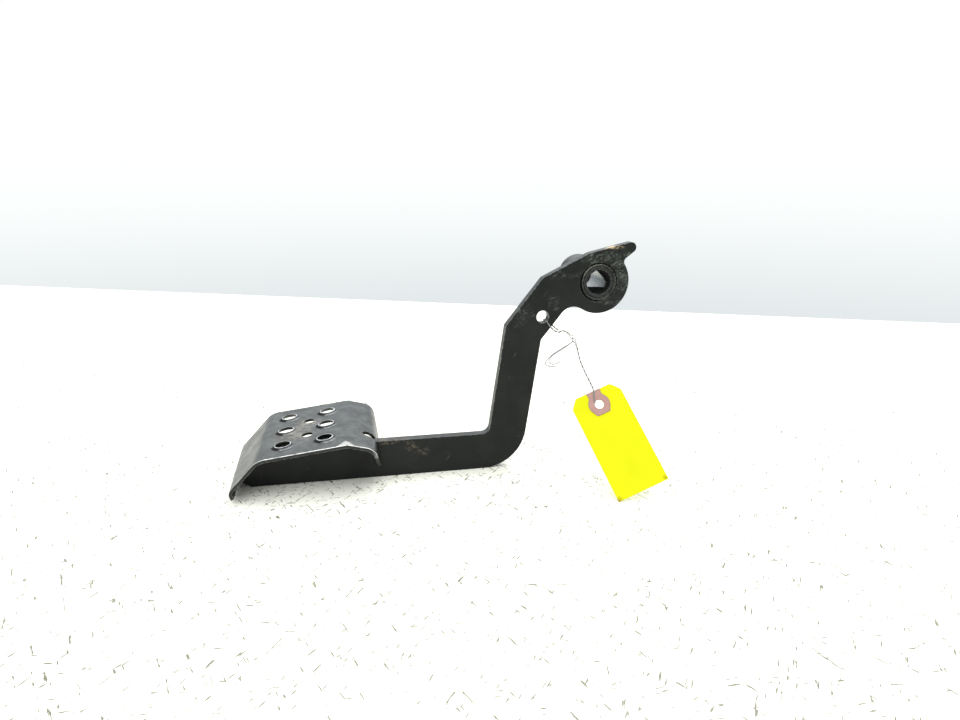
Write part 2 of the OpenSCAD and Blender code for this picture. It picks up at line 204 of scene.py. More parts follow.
# ---------------------------------------------------------------- materials
class Paint:
    """A small helper that builds a node material."""

    def __init__(self, name):
        self.mat = bpy.data.materials.new(name)
        self.mat.use_nodes = True
        self.tree = self.mat.node_tree
        self.tree.nodes.clear()
        self.out = self.node("ShaderNodeOutputMaterial")
        self.bsdf = self.node("ShaderNodeBsdfPrincipled")
        self.tree.links.new(self.bsdf.outputs[0], self.out.inputs[0])
        self.place = self.node("ShaderNodeTexCoord").outputs["Object"]
        self.warped = None

    def node(self, kind, **settings):
        n = self.tree.nodes.new(kind)
        for k, v in settings.items():
            setattr(n, k, v)
        return n

    def put(self, socket, value):
        if isinstance(value, bpy.types.NodeSocket):
            self.tree.links.new(value, socket)
        else:
            socket.default_value = value

    def surface(self, name, value):
        """Sets or feeds one of the surface's own inputs."""
        self.put(self.bsdf.inputs[name], value)

    def math(self, op, a, b=0.0, c=0.0, clamp=False):
        n = self.node("ShaderNodeMath", operation=op, use_clamp=clamp)
        for socket, value in zip(n.inputs, (a, b, c)):
            self.put(socket, value)
        return n.outputs[0]

    def times(self, *values):
        out = values[0]
        for value in values[1:]:
            out = self.math("MULTIPLY", out, value)
        return out

    def total(self, values):
        """The sum, held at 1."""
        out = values[0]
        for value in values[1:]:
            out = self.math("ADD", out, value, clamp=True)
        return out

    def warp(self, scale, amount):
        """Makes later spots ragged, by moving their space with noise."""
        n = self.node("ShaderNodeTexNoise")
        self.put(n.inputs["Vector"], self.place)
        n.inputs["Scale"].default_value = scale
        n.inputs["Detail"].default_value = 3
        shift = self.node("ShaderNodeVectorMath", operation="MULTIPLY_ADD")
        self.put(shift.inputs[0], n.outputs["Color"])
        shift.inputs[1].default_value = (amount, amount, amount)
        shift.inputs[2].default_value = (-amount / 2,) * 3
        moved = self.node("ShaderNodeVectorMath", operation="ADD")
        self.put(moved.inputs[0], self.place)
        self.put(moved.inputs[1], shift.outputs[0])
        self.warped = moved.outputs[0]

    def noise(self, scale, detail=3.0, rough=0.5, vector=None, distortion=0.0):
        n = self.node("ShaderNodeTexNoise")
        self.put(n.inputs["Vector"], vector or self.place)
        n.inputs["Scale"].default_value = scale
        n.inputs["Detail"].default_value = detail
        n.inputs["Roughness"].default_value = rough
        n.inputs["Distortion"].default_value = distortion
        return n.outputs["Fac"]

    def remap(self, value, low, high, to_low=0.0, to_high=1.0):
        n = self.node("ShaderNodeMapRange", clamp=True)
        self.put(n.inputs[0], value)
        for i, v in enumerate((low, high, to_low, to_high)):
            self.put(n.inputs[i + 1], v)
        return n.outputs[0]

    def mix(self, fac, a, b):
        n = self.node("ShaderNodeMix", data_type="RGBA")
        self.put(n.inputs[0], fac)
        self.put(n.inputs[6], a)
        self.put(n.inputs[7], b)
        return n.outputs[2]

    def mixf(self, fac, a, b):
        n = self.node("ShaderNodeMix", data_type="FLOAT")
        self.put(n.inputs[0], fac)
        self.put(n.inputs[2], a)
        self.put(n.inputs[3], b)
        return n.outputs[0]

    def bump(self, height, strength, distance, normal=None):
        n = self.node("ShaderNodeBump")
        n.inputs["Strength"].default_value = strength
        n.inputs["Distance"].default_value = distance
        self.put(n.inputs["Height"], height)
        if normal is not None:
            self.put(n.inputs["Normal"], normal)
        return n.outputs[0]

    def scratches(self, scale, turn, low, high, thin=0.12):
        """Fine lines: noise drawn out along the Z axis, which is turned first."""
        n = self.node("ShaderNodeMapping", vector_type="TEXTURE")
        self.put(n.inputs["Vector"], self.place)
        n.inputs["Scale"].default_value = (1 / scale, 1 / scale, 1 / (scale * thin))
        n.inputs["Rotation"].default_value = turn
        return self.remap(self.noise(1.0, 2, 0.5, n.outputs[0]), low, high)

    def axis(self, letter):
        n = self.node("ShaderNodeSeparateXYZ")
        self.put(n.inputs[0], self.place)
        return n.outputs[letter]

    def facing(self, letter):
        geo = self.node("ShaderNodeNewGeometry")
        n = self.node("ShaderNodeSeparateXYZ")
        self.put(n.inputs[0], geo.outputs["Normal"])
        return n.outputs[letter]

    def edge(self, radius):
        """1 near a sharp edge and 0 on a flat face."""
        n = self.node("ShaderNodeBevel", samples=4)
        n.inputs["Radius"].default_value = radius
        geo = self.node("ShaderNodeNewGeometry")
        dot = self.node("ShaderNodeVectorMath", operation="DOT_PRODUCT")
        self.put(dot.inputs[0], n.outputs[0])
        self.put(dot.inputs[1], geo.outputs["Normal"])
        return self.remap(dot.outputs["Value"], 0.995, 0.9)

    def spot(self, centre, size, soft=0.5):
        """1 at centre, falling to 0 at size away, in metres, along each axis."""
        n = self.node("ShaderNodeMapping", vector_type="TEXTURE")
        self.put(n.inputs["Vector"], self.warped or self.place)
        n.inputs["Location"].default_value = centre
        n.inputs["Scale"].default_value = size if isinstance(size, tuple) else (size,) * 3
        length = self.node("ShaderNodeVectorMath", operation="LENGTH")
        self.put(length.inputs[0], n.outputs[0])
        return self.remap(length.outputs["Value"], 1.0, 1.0 - soft)

    def radius(self, a, b):
        return self.math("SQRT", self.math("ADD", self.times(a, a), self.times(b, b)))

    def towards(self, a, b, r, along_a, along_b):
        """The cosine between the direction (a, b), of length r, and the given direction."""
        return self.math("DIVIDE", self.math("MULTIPLY_ADD", a, along_a, self.times(b, along_b)), r)


def rgb(r, g, b):
    return (r, g, b, 1.0)


# Colours, in linear light
PAINT_DARK = rgb(0.0028, 0.0042, 0.0042)
PAINT_PALE = rgb(0.0078, 0.0100, 0.0088)
SCRATCH = rgb(0.17, 0.18, 0.175)
DUST = rgb(0.35, 0.37, 0.38)
WORN_EDGE = rgb(0.42, 0.43, 0.42)
SCUFF = rgb(0.21, 0.235, 0.205)
RUST_DARK = rgb(0.085, 0.068, 0.05)
RUST_PALE = rgb(0.22, 0.175, 0.13)
RUBBED_TAN = rgb(0.5, 0.39, 0.26)
# Painted shadow in the groove round the hub's spigot
GROOVE_SHADOW = rgb(0.001, 0.001, 0.001)
TURNED_BARE = rgb(0.4, 0.42, 0.34)
HUB_BROWN = rgb(0.08, 0.078, 0.055)
WELD_BROWN = rgb(0.1, 0.08, 0.06)
HANDLED = rgb(0.34, 0.38, 0.38)
TREAD_DIRT = rgb(0.34, 0.295, 0.23)
# Painted shadow round the grip holes, then the colour of their worn rims with painted highlight
GRIP_PAINTED_SHADE = rgb(0.002, 0.002, 0.002)
GRIP_RIM_WEAR_AND_HIGHLIGHT = rgb(0.62, 0.64, 0.66)
# Pale worn metal, also the colour of painted highlights on the pad's edges and creased corner
BARE_METAL_AND_HIGHLIGHT = rgb(0.76, 0.76, 0.73)
BORE_DARK = rgb(0.25, 0.27, 0.27)
BORE_PALE = rgb(0.42, 0.44, 0.44)
BORE_PITS = rgb(0.06, 0.06, 0.06)
# Painted shade on the bore's wall
BORE_PAINTED_SHADE = rgb(0.0012, 0.0012, 0.0012)
CARD_DARK = rgb(0.57, 0.58, 0.003)
CARD_PALE = rgb(0.64, 0.65, 0.006)
CARD_FIBRE = rgb(0.5, 0.44, 0.03)
CARD_EDGE = rgb(0.42, 0.33, 0.02)
CARD_SMUDGE = rgb(0.50, 0.46, 0.0)
CARD_STAIN = rgb(0.16, 0.06, 0.01)
PATCH_DARK = rgb(0.31, 0.165, 0.145)
PATCH_PALE = rgb(0.42, 0.25, 0.225)
PATCH_EDGE_SHADOW = rgb(0.2, 0.11, 0.03)
WIRE_DARK = rgb(0.15, 0.155, 0.16)
WIRE_PALE = rgb(0.27, 0.275, 0.28)
WIRE_DULL = rgb(0.12, 0.11, 0.10)
TABLE_DARK = rgb(0.75, 0.755, 0.68)
TABLE_PALE = rgb(0.79, 0.79, 0.725)
TABLE_MARK = rgb(0.15, 0.145, 0.10)


def paint_base(p, edge_wear, dust_amount=0.16):
    """Satin black paint with mottling, scratches, dust on top and worn edges."""
    tint = p.mix(p.remap(p.noise(42, 4, 0.6), 0.35, 0.65), PAINT_DARK, PAINT_PALE)
    cloud = p.remap(p.noise(33, 5, 0.65, distortion=0.8), 0.54, 0.72)
    fine = p.total([
        p.scratches(800, (0, 0.55, 0), 0.68, 0.76),
        p.scratches(900, (0, -0.7, 0), 0.69, 0.76, 0.2),
        p.scratches(600, (0, 1.4, 0), 0.70, 0.77, 0.2)])
    col = p.mix(p.times(fine, cloud, 0.7), tint, SCRATCH)
    up = p.remap(p.facing("Z"), 0.25, 0.95)
    film = p.remap(p.noise(120, 6, 0.7), 0.3, 0.75, 0.2, 1.0)
    col = p.mix(p.times(up, film, dust_amount), col, DUST)
    wear = p.edge(0.0005)
    chips = p.remap(p.noise(420, 4, 0.65), 0.42, 0.62)
    return p.mix(p.times(wear, chips, edge_wear), col, WORN_EDGE)


def finish_paint(p, col, rough_low=0.3, rough_high=0.46, ior=1.3, shade_matt=0.0):
    """Gloss and texture; where the last argument, the pad's painted shadow mask, is 1 the paint is
    dead matt.
    """
    p.surface("Base Color", col)
    p.surface("IOR", ior)
    gloss = p.remap(p.noise(75, 5, 0.6), 0.3, 0.7, rough_low, rough_high)
    p.surface("Roughness", p.mixf(shade_matt, gloss, 1.0))
    peel = p.bump(p.noise(650, 2, 0.5), 0.10, 0.0005)
    p.surface("Normal", p.bump(p.noise(2600, 3, 0.6), 0.10, 0.0001, peel))


# The groove between the hub's spigot and the arm's eye, seen from the plain side
GROOVE_OUTER = 0.0127
GROOVE_INNER = 0.0121
GROOVE_FADE = 0.0003


def groove_shadow(p, col):
    """Painted shadow: black in the groove round the spigot, widest at its lower left."""
    x, z = p.axis("X"), p.axis("Z")
    r = p.radius(x, z)
    thick = p.remap(p.towards(x, z, r, -0.8, -0.5), 0.1, 0.75)
    outer = p.math("MULTIPLY_ADD", thick, 0.0005, GROOVE_OUTER)
    inner = p.math("MULTIPLY_ADD", thick, -0.0006, GROOVE_INNER)
    ring = p.times(p.remap(p.math("SUBTRACT", outer, r), 0.0, GROOVE_FADE),
                   p.remap(p.math("SUBTRACT", r, inner), 0.0, GROOVE_FADE))
    front = p.math("LESS_THAN", p.axis("Y"), 0.0)
    return p.mix(p.times(ring, front, 0.95), col, GROOVE_SHADOW)


# Turning marks on the hub's end: radius and width in mm, direction in X and Z, how light
TURNED = [
    (11.5, 0.22, -0.35, 0.94, 0.42), (11.2, 0.3, -0.9, 0.4, 0.3), (10.5, 0.2, 0.0, 1.0, 0.2),
    (8.6, 0.25, 0.5, -0.87, 0.34), (9.6, 0.2, -0.2, -0.98, 0.22), (11.6, 0.2, 0.2, -0.98, 0.3)]


def turned_marks(p, col):
    """Broken arcs left by turning, where the paint is rubbed thin."""
    x, z = p.axis("X"), p.axis("Z")
    r = p.radius(x, z)
    broken = p.remap(p.noise(520, 4, 0.65), 0.38, 0.55)
    arcs = []
    for radius, width, dx, dz, light in TURNED:
        off = p.math("ABSOLUTE", p.math("SUBTRACT", r, radius / 1000))
        side = p.remap(p.towards(x, z, r, dx, dz), 0.45, 0.9)
        arcs.append(p.times(p.remap(off, width / 1000, width / 2500), side, light))
    front = p.math("LESS_THAN", p.axis("Y"), 0.0)
    return p.mix(p.times(p.total(arcs), broken, front), col, TURNED_BARE)


# Patches on the arm's plain side, in mm: where they are centred in Y, and how far they reach
PLAIN_SIDE = -3.1
PATCH_REACH = 4.5
# Light scuffs on it, in mm: X, Z, size across and size up
SCUFFS = [
    (-53, -20, 9, 8), (-3, 16, 11, 4), (8, 17, 9, 5), (15, 8, 8, 9), (18, -2, 6, 9), (12, 13, 6, 5),
    (19, 5, 5, 6), (-44, -67, 3, 5), (-65, -32, 3, 6), (-22, 5, 13, 3), (20, 18, 6, 4),
    (-31, -12, 5, 6), (14, -13, 5, 4), (4, -14, 8, 3)]
# Rust and brown dirt on it, in the same way
RUST = [
    (-148, -102, 8, 1.8), (-134, -102, 9, 1.6), (-121, -112, 7, 5), (8, 22.6, 11, 1.6),
    (-126, -106, 6, 4)]


def on_side(p, x, z, wide, high, soft=0.9):
    """A soft patch on the plain side of the arm."""
    return p.spot((x / 1000, PLAIN_SIDE / 1000, z / 1000),
                  (wide / 1000, PATCH_REACH / 1000, high / 1000), soft)


def arm_paint():
    p = Paint("arm_black_paint")
    # With painted shadow in the groove round the spigot
    col = groove_shadow(p, paint_base(p, edge_wear=0.75))
    p.warp(110, 0.012)
    streaks = p.total([
        p.remap(p.noise(620, 8, 0.8, distortion=0.3), 0.52, 0.66),
        p.scratches(700, (0, 1.1, 0), 0.58, 0.72, 0.25),
        p.remap(p.noise(150, 4, 0.6), 0.45, 0.7, 0.0, 0.22)])
    spots = p.total([on_side(p, *s) for s in SCUFFS])
    col = p.mix(p.times(spots, streaks, 0.62), col, SCUFF)
    flecks = p.remap(p.noise(330, 6, 0.75), 0.47, 0.6)
    rusty = [on_side(p, *s, 0.6) for s in RUST]
    # Rust along the lower run's top edge, beside the pad
    rusty.append(p.spot((-0.142, 0.0, -0.102), (0.016, 0.006, 0.0025), 0.5))
    rust = p.times(p.total(rusty), flecks, 0.5)
    brown = p.mix(p.noise(700, 3), RUST_DARK, RUST_PALE)
    col = p.mix(rust, col, brown)
    p.warped = None
    # The top edge beside the stop finger is rubbed to a tan colour
    rub = p.spot((0.009, -0.001, 0.0228), (0.010, 0.004, 0.0016), 0.6)
    col = p.mix(p.times(rub, p.remap(p.noise(450, 4), 0.35, 0.55)), col, RUBBED_TAN)
    finish_paint(p, col)
    return p.mat


# The tread's middle and slope, and the spacing of its raised holes along and across it
TREAD_MID = (-0.19615, 0.0179, -0.09698)
TREAD_SLOPE = math.atan2(6.45, 54.9)
GRIP_GAP = 0.0266
GRIP_PITCH = 0.0254
# Half the length of tread that has raised holes
GRIP_REACH = 0.0235


def tread_axes(p):
    """Distance along the tread and across it, from its middle."""
    n = p.node("ShaderNodeMapping", vector_type="TEXTURE")
    p.put(n.inputs["Vector"], p.place)
    n.inputs["Location"].default_value = TREAD_MID
    n.inputs["Rotation"].default_value = (0, -TREAD_SLOPE, 0)
    split = p.node("ShaderNodeSeparateXYZ")
    p.put(split.inputs[0], n.outputs[0])
    return split.outputs["X"], split.outputs["Y"]


def grip_axes(p, u, v):
    """Distance along and across the tread from the nearest raised hole, and the radius."""
    du = p.math("SUBTRACT", p.math("WRAP", u, GRIP_GAP, 0.0), GRIP_GAP / 2)
    dv = p.math("WRAP", v, GRIP_PITCH / 2, -GRIP_PITCH / 2)
    return du, dv, p.radius(du, dv)


def band(p, r, start, full, fade, end):
    """A ring: it rises from start to full and falls from fade to end, in metres."""
    return p.times(p.remap(r, start, full), p.remap(r, end, fade))


def grip_wear_and_painted_light(p, col, u, v):
    """Shoes have rubbed each rim bright, with a painted highlight that makes it brighter on its
    front side; a painted highlight band lies on the front of its foot, and painted shadow at its
    front left and along its front edge. Also gives the painted shadow mask.
    """
    du, dv, r = grip_axes(p, u, v)
    up = p.remap(p.facing("Z"), 0.1, 0.3)
    on_tread = p.times(p.math("LESS_THAN", p.math("ABSOLUTE", u), GRIP_REACH), up)
    blotch = p.noise(420, 4, 0.6)
    low_side = p.towards(du, dv, r, 0.35, -0.93)
    # The rim: worn bright by shoes, with a painted highlight stronger on its front side
    rim = p.times(band(p, r, 0.0044, 0.0047, 0.0052, 0.0056),
                  p.remap(blotch, 0.32, 0.55, 0.25, 1.0),
                  p.remap(low_side, -0.7, 0.3, 0.5, 1.0))
    # A painted highlight band on the front of the hole's foot
    foot = p.times(band(p, r, 0.0060, 0.0066, 0.0070, 0.0079),
                   p.remap(low_side, 0.5, 0.95),
                   p.remap(blotch, 0.35, 0.6, 0.3, 1.0))
    # Rim wear with its painted highlight, stronger towards the heel end, and the painted highlight
    # band
    rubbed = p.remap(u, -0.006, 0.006, 0.6, 0.95)
    worn = p.math("MAXIMUM", p.times(rim, rubbed), p.times(foot, 0.26))
    col = p.mix(p.times(worn, on_tread), col, GRIP_RIM_WEAR_AND_HIGHLIGHT)
    # Painted shadow at each hole's front left, and a painted shadow line along its front edge
    corner = p.remap(p.towards(du, dv, r, -0.8, -0.6), 0.66, 0.88)
    crescent = p.times(band(p, r, 0.0052, 0.0056, 0.0070, 0.0078), corner)
    line = p.times(band(p, r, 0.0053, 0.0056, 0.0059, 0.0063),
                   p.remap(low_side, 0.1, 0.6, 0.0, 0.75))
    dirt_and_shade = p.times(p.math("MAXIMUM", crescent, line), on_tread)
    return p.mix(p.times(dirt_and_shade, 0.95), col, GRIP_PAINTED_SHADE), dirt_and_shade


# The pad's front edge in Y, the tread's bend to the heel in X, and the size of the painted
# highlight triangle
PAD_FRONT = -0.0253
FAR_BEND = -0.1697
HIGHLIGHT_HALF_WIDTH = 0.0072
HIGHLIGHT_DEPTH = 0.0088


def creased_corner_highlight(p, x, y):
    """Painted highlight: a ragged pale triangle where the sheet is creased, at the front end of the
    tread's far bend.
    """
    ragged = p.remap(p.noise(500, 3), 0.2, 0.8, -0.12, 0.12)
    across = p.math("DIVIDE", p.math("ABSOLUTE", p.math("SUBTRACT", x, FAR_BEND)), HIGHLIGHT_HALF_WIDTH)
    inward = p.math("DIVIDE", p.math("SUBTRACT", y, PAD_FRONT), HIGHLIGHT_DEPTH)
    return p.remap(p.math("ADD", p.math("ADD", across, inward), ragged), 1.0, 0.75)


def front_edge_wear_and_highlight(p, x, y):
    """The pale line along the pad's front edge, chewed and broken: worn to metal, with a painted
    highlight.
    """
    chew = p.math("MULTIPLY_ADD", p.noise(700, 4, 0.6), 0.0016, -0.0008)
    return p.times(
        p.remap(p.math("ADD", y, chew), -0.0241, -0.0246),
        p.remap(p.facing("Z"), 0.2, 0.45),
        p.remap(x, -0.226, -0.219, 0.2, 1.0),
        p.remap(p.noise(230, 4), 0.30, 0.42, 0.25, 1.0))


def heel_edge_wear_and_highlight(p, x, y):
    """The rear flange's free end, pale too: worn to metal, with a painted highlight."""
    return p.times(
        p.remap(y, -0.0245, -0.0250),
        p.remap(x, -0.1535, -0.1495),
        p.remap(p.noise(300, 4), 0.3, 0.6, 0.25, 1.0))


def pad_paint():
    p = Paint("pad_black_paint")
    col = paint_base(p, edge_wear=0.7, dust_amount=0.07)
    top = p.remap(p.facing("Z"), 0.2, 0.5)
    x, y = p.axis("X"), p.axis("Y")
    # Brush-like clouds of handling dirt on the upward faces
    clouds = p.times(p.remap(p.noise(95, 6, 0.72, distortion=0.6), 0.4, 0.68),
                     p.remap(p.noise(420, 6, 0.75), 0.38, 0.6, 0.35, 1.0))
    thick = p.times(top, p.remap(x, -0.228, -0.221, 0.03, 0.22))
    col = p.mix(p.times(clouds, thick), col, HANDLED)
    p.warp(90, 0.012)
    flecks = p.remap(p.noise(240, 6, 0.75), 0.40, 0.62)
    dirt_and_shade = p.total([
        p.spot((-0.203, 0.008, -0.098), (0.016, 0.017, 0.006), 0.9),
        p.spot((-0.196, 0.026, -0.097), (0.012, 0.012, 0.006), 0.9)])
    p.warped = None
    col = p.mix(p.times(dirt_and_shade, flecks, 0.5), col, TREAD_DIRT)
    u, v = tread_axes(p)
    # Worn rims with painted highlights, and painted shadow round the raised holes, whose mask also
    # makes the paint dead matt
    col, shade_matt = grip_wear_and_painted_light(p, col, u, v)
    # Edges worn to metal with a painted highlight, and a painted highlight on the creased corner of
    # the far bend
    edges = p.math("MAXIMUM", p.times(front_edge_wear_and_highlight(p, x, y), 0.85), p.times(heel_edge_wear_and_highlight(p, x, y), 0.35))
    bare_and_lit = p.math("MAXIMUM", p.times(creased_corner_highlight(p, x, y), top, 0.42), edges)
    finish_paint(p, p.mix(bare_and_lit, col, BARE_METAL_AND_HIGHLIGHT), 0.27, 0.42, 1.42, shade_matt)
    return p.mat


def hub_paint():
    p = Paint("hub_black_paint")
    # With painted shadow in the groove round the spigot
    col = groove_shadow(p, paint_base(p, edge_wear=0.9))
    col = p.mix(p.remap(p.noise(60, 4, 0.6), 0.5, 0.7, 0.0, 0.3), col, HUB_BROWN)
    finish_paint(p, turned_marks(p, col), 0.28, 0.42)
    return p.mat


def weld_paint():
    p = Paint("painted_weld")
    col = paint_base(p, edge_wear=0.2)
    col = p.mix(p.remap(p.noise(500, 4, 0.6), 0.5, 0.7, 0.0, 0.3), col, WELD_BROWN)
    finish_paint(p, col, 0.34, 0.5)
    return p.mat


# The bore's lit zone of unpainted steel, outside its painted shade: where it starts and stops along
# Y where its ends are square, and the heights beyond which the ends slope
LIT_ZONE_START = 0.0044
START_SLOPES_OVER = -0.0012
START_SLOPES_UNDER = -0.0048
LIT_ZONE_STOP = 0.0342
STOP_SLOPES_OVER = 0.0002


def sleeve_finish():
    """Painted on its end faces, unpainted steel inside, with painted shade that makes the wall
    black at the mouth and beyond the lit zone.
    """
    p = Paint("pivot_liner")
    paint = paint_base(p, edge_wear=0.45)
    steel = p.mix(p.noise(150, 5, 0.65), BORE_DARK, BORE_PALE)
    pits = p.remap(p.noise(900, 5, 0.7), 0.54, 0.64)
    steel = p.mix(p.times(pits, 0.8), steel, BORE_PITS)
    y, z = p.axis("Y"), p.axis("Z")
    # The painted shade at the mouth reaches deeper towards the top and towards the bottom, so the
    # lit zone starts deeper there
    over = p.math("MAXIMUM", p.math("SUBTRACT", z, START_SLOPES_OVER), 0.0)
    under = p.math("MAXIMUM", p.math("SUBTRACT", START_SLOPES_UNDER, z), 0.0)
    start = p.math("MULTIPLY_ADD", over, 2.35, p.math("MULTIPLY_ADD", under, 7.0, LIT_ZONE_START))
    wobble = p.math("MULTIPLY_ADD", p.noise(220, 2), 0.003, -0.0015)
    start = p.math("ADD", start, wobble)
    near = p.remap(p.math("SUBTRACT", y, start), -0.0012, 0.0024)
    above = p.math("MAXIMUM", p.math("SUBTRACT", z, STOP_SLOPES_OVER), 0.0)
    stop = p.math("MULTIPLY_ADD", above, -3.0, LIT_ZONE_STOP)
    far = p.remap(p.math("SUBTRACT", stop, y), -0.0006, 0.0008)
    face = p.remap(p.math("ABSOLUTE", p.facing("Y")), 0.3, 0.5)
    inside = p.math("SUBTRACT", 1.0, face)
    bare_and_lit = p.times(near, far, inside)
    # Painted shade: the wall is black outside the lit zone
    wall = p.mix(bare_and_lit, BORE_PAINTED_SHADE, steel)
    p.surface("Base Color", p.mix(inside, paint, wall))
    p.surface("Metallic", p.times(bare_and_lit, 0.9))
    p.surface("Roughness", p.mixf(inside, 0.42, p.mixf(bare_and_lit, 0.95, 0.36)))
    p.surface("IOR", 1.42)
    p.surface("Normal", p.bump(p.noise(800, 4, 0.6), 0.2, 0.0003))
    return p.mat


def card_finish():
    p = Paint("yellow_card")
    col = p.mix(p.remap(p.noise(26, 4, 0.6), 0.3, 0.7), CARD_DARK, CARD_PALE)
    fibre = p.remap(p.noise(1400, 4, 0.7), 0.3, 0.75)
    col = p.mix(p.times(fibre, 0.08), col, CARD_FIBRE)
    col = p.mix(p.times(p.edge(0.0006), 0.35), col, CARD_EDGE)
    smudge = p.spot((0.0080, -0.0485, -0.1135), 0.0065, 0.35)
    col = p.mix(p.times(smudge, 0.8), col, CARD_SMUDGE)
    # Brown stains at the two corners that have been dragged about
    corners = [v.co for v in NODES["tag_card"].data.vertices]
    p.warp(300, 0.004)
    stains = p.total([
        p.spot(tuple(min(corners, key=lambda c: c.z)), 0.0042, 0.8),
        p.spot(tuple(max(corners, key=lambda c: c.x)), 0.0040, 0.8)])
    p.warped = None
    stains = p.times(stains, p.remap(p.noise(600, 4, 0.7), 0.42, 0.58), 0.95)
    p.surface("Base Color", p.mix(stains, col, CARD_STAIN))
    p.surface("IOR", 1.3)
    p.surface("Specular IOR Level", 0.2)
    p.surface("Roughness", p.remap(p.noise(200, 3), 0.3, 0.7, 0.6, 0.75))
    p.surface("Normal", p.bump(p.noise(1500, 4, 0.65), 0.25, 0.0002))
    return p.mat


def patch_finish():
    p = Paint("brown_patch")
    col = p.mix(p.noise(240, 5, 0.65), PATCH_DARK, PATCH_PALE)
    # Painted shadow: the patch is darker round its edges
    p.surface("Base Color", p.mix(p.times(p.edge(0.0009), 0.8), col, PATCH_EDGE_SHADOW))
    p.surface("Roughness", p.remap(p.noise(300, 3), 0.3, 0.7, 0.6, 0.8))
    p.surface("Normal", p.bump(p.noise(1300, 4, 0.7), 0.3, 0.0003))
    return p.mat


def wire_finish():
    p = Paint("galvanised_wire")
    col = p.mix(p.noise(500, 4), WIRE_DARK, WIRE_PALE)
    p.surface("Base Color", p.mix(p.remap(p.noise(1500, 3), 0.6, 0.7), col, WIRE_DULL))
    p.surface("Metallic", 0.35)
    p.surface("Roughness", p.remap(p.noise(900, 3), 0.3, 0.7, 0.4, 0.6))
    p.surface("Normal", p.bump(p.noise(4000, 2), 0.15, 0.0001))
    return p.mat


def table_finish():
    """Pale and matt, with small specks and short hair-like marks lying every way."""
    p = Paint("pale_table")
    grit = p.remap(p.noise(240, 3, 0.6), 0.66, 0.70)
    flat = math.pi / 2
    hair = p.total([
        p.scratches(720, (flat, 0, 0.4), 0.65, 0.70, 0.16),
        p.scratches(660, (flat, 0, 1.5), 0.65, 0.70, 0.16),
        p.scratches(780, (flat, 0, 2.5), 0.65, 0.70, 0.16)])
    worn_zone = p.remap(p.noise(9, 3, 0.5), 0.42, 0.6, 0.92, 1.0)
    marks = p.times(p.math("MAXIMUM", p.times(grit, 0.75), hair), worn_zone)
    table = p.mix(p.noise(10, 3), TABLE_DARK, TABLE_PALE)
    p.surface("Base Color", p.mix(marks, table, TABLE_MARK))
    p.surface("Roughness", 0.55)
    return p.mat


def dress(obj, mat):
    obj.data.materials.clear()
    obj.data.materials.append(mat)


# ---------------------------------------------------------------- weld beads
BEAD_STEPS = 7
# The share of each pitch over which a ripple rises
RIPPLE_RISE = 0.3
# All as shares of the leg: a bead's size between crests, the crests, and the unevenness
TROUGH = 0.9
CREST = 0.16
UNEVEN = 0.03
# How full an open bead's end is, and how much it gains at each station
END_FULL = 0.35
END_GAIN = 0.22
# How far the root is sunk into the corner, and how hollow the face is
ROOT_SUNK = 0.05
HOLLOW = 0.16


def ripple(run, pitch):
    """A stacked-coin ripple: a quick rise and a slow fall along each pitch."""
    t = (run / pitch) % 1.0
    return t / RIPPLE_RISE if t < RIPPLE_RISE else (1 - t) / (1 - RIPPLE_RISE)


def bead_mesh(name, runs, leg, pitch, seed):
    """Rippled fillet beads; each run is (stations, closed), and each station is
    (corner, direction along wall 1, direction along wall 2)."""
    rng = random.Random(seed)
    bm = bmesh.new()
    for stations, closed in runs:
        rings = []
        run = 0.0
        count = len(stations)
        for i, (c, d1, d2) in enumerate(stations):
            run += (c - stations[max(i - 1, 0)][0]).length
            size = leg * (TROUGH + CREST * ripple(run, pitch) + UNEVEN * rng.uniform(-1, 1))
            if not closed:
                end = min(i, count - 1 - i)
                size *= min(1.0, END_FULL + END_GAIN * end)
            ring = [bm.verts.new(c - ROOT_SUNK * leg * (d1 + d2))]
            for k in range(BEAD_STEPS):
                a = 0.5 * math.pi * k / (BEAD_STEPS - 1)
                hollow = 1 - HOLLOW * math.sin(2 * a)
                ring.append(bm.verts.new(c + size * hollow * (math.cos(a) * d1 + math.sin(a) * d2)))
            rings.append(ring)
        pairs = list(zip(rings, rings[1:]))
        if closed:
            pairs.append((rings[-1], rings[0]))
        else:
            bm.faces.new(rings[0])
            bm.faces.new(reversed(rings[-1]))
        for a, b in pairs:
            for k in range(BEAD_STEPS + 1):
                t = (k + 1) % (BEAD_STEPS + 1)
                bm.faces.new((a[k], b[k], b[t], a[t]))
    bmesh.ops.recalc_face_normals(bm, faces=bm.faces)
    return mesh_object(name, bm)


ACROSS = Vector((0, 1, 0))
# A bead's leg, as a share of the CAD weld's: its crests come out at about the CAD's size
LEG_SHARE = 0.94
# How far apart a straight bead's stations are, and how many go round the hub
STATION_PITCH = 0.0002
HUB_STATIONS = 300
# How far the hub's bead is sunk into the hub, and how far its corner stands off the plate
SUNK_IN_HUB = 0.0002
OFF_PLATE = 0.0001
WELD_PAINT = weld_paint()
HALF_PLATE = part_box("arm_plate")[1].y


def place_bead(piece, node):
    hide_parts(node)
    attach(piece, "root")
    dress(piece, WELD_PAINT)


def straight(a, b, d1, d2):
    count = int((b - a).length / STATION_PITCH)
    return [(a.lerp(b, i / count), d1, d2) for i in range(count + 1)]


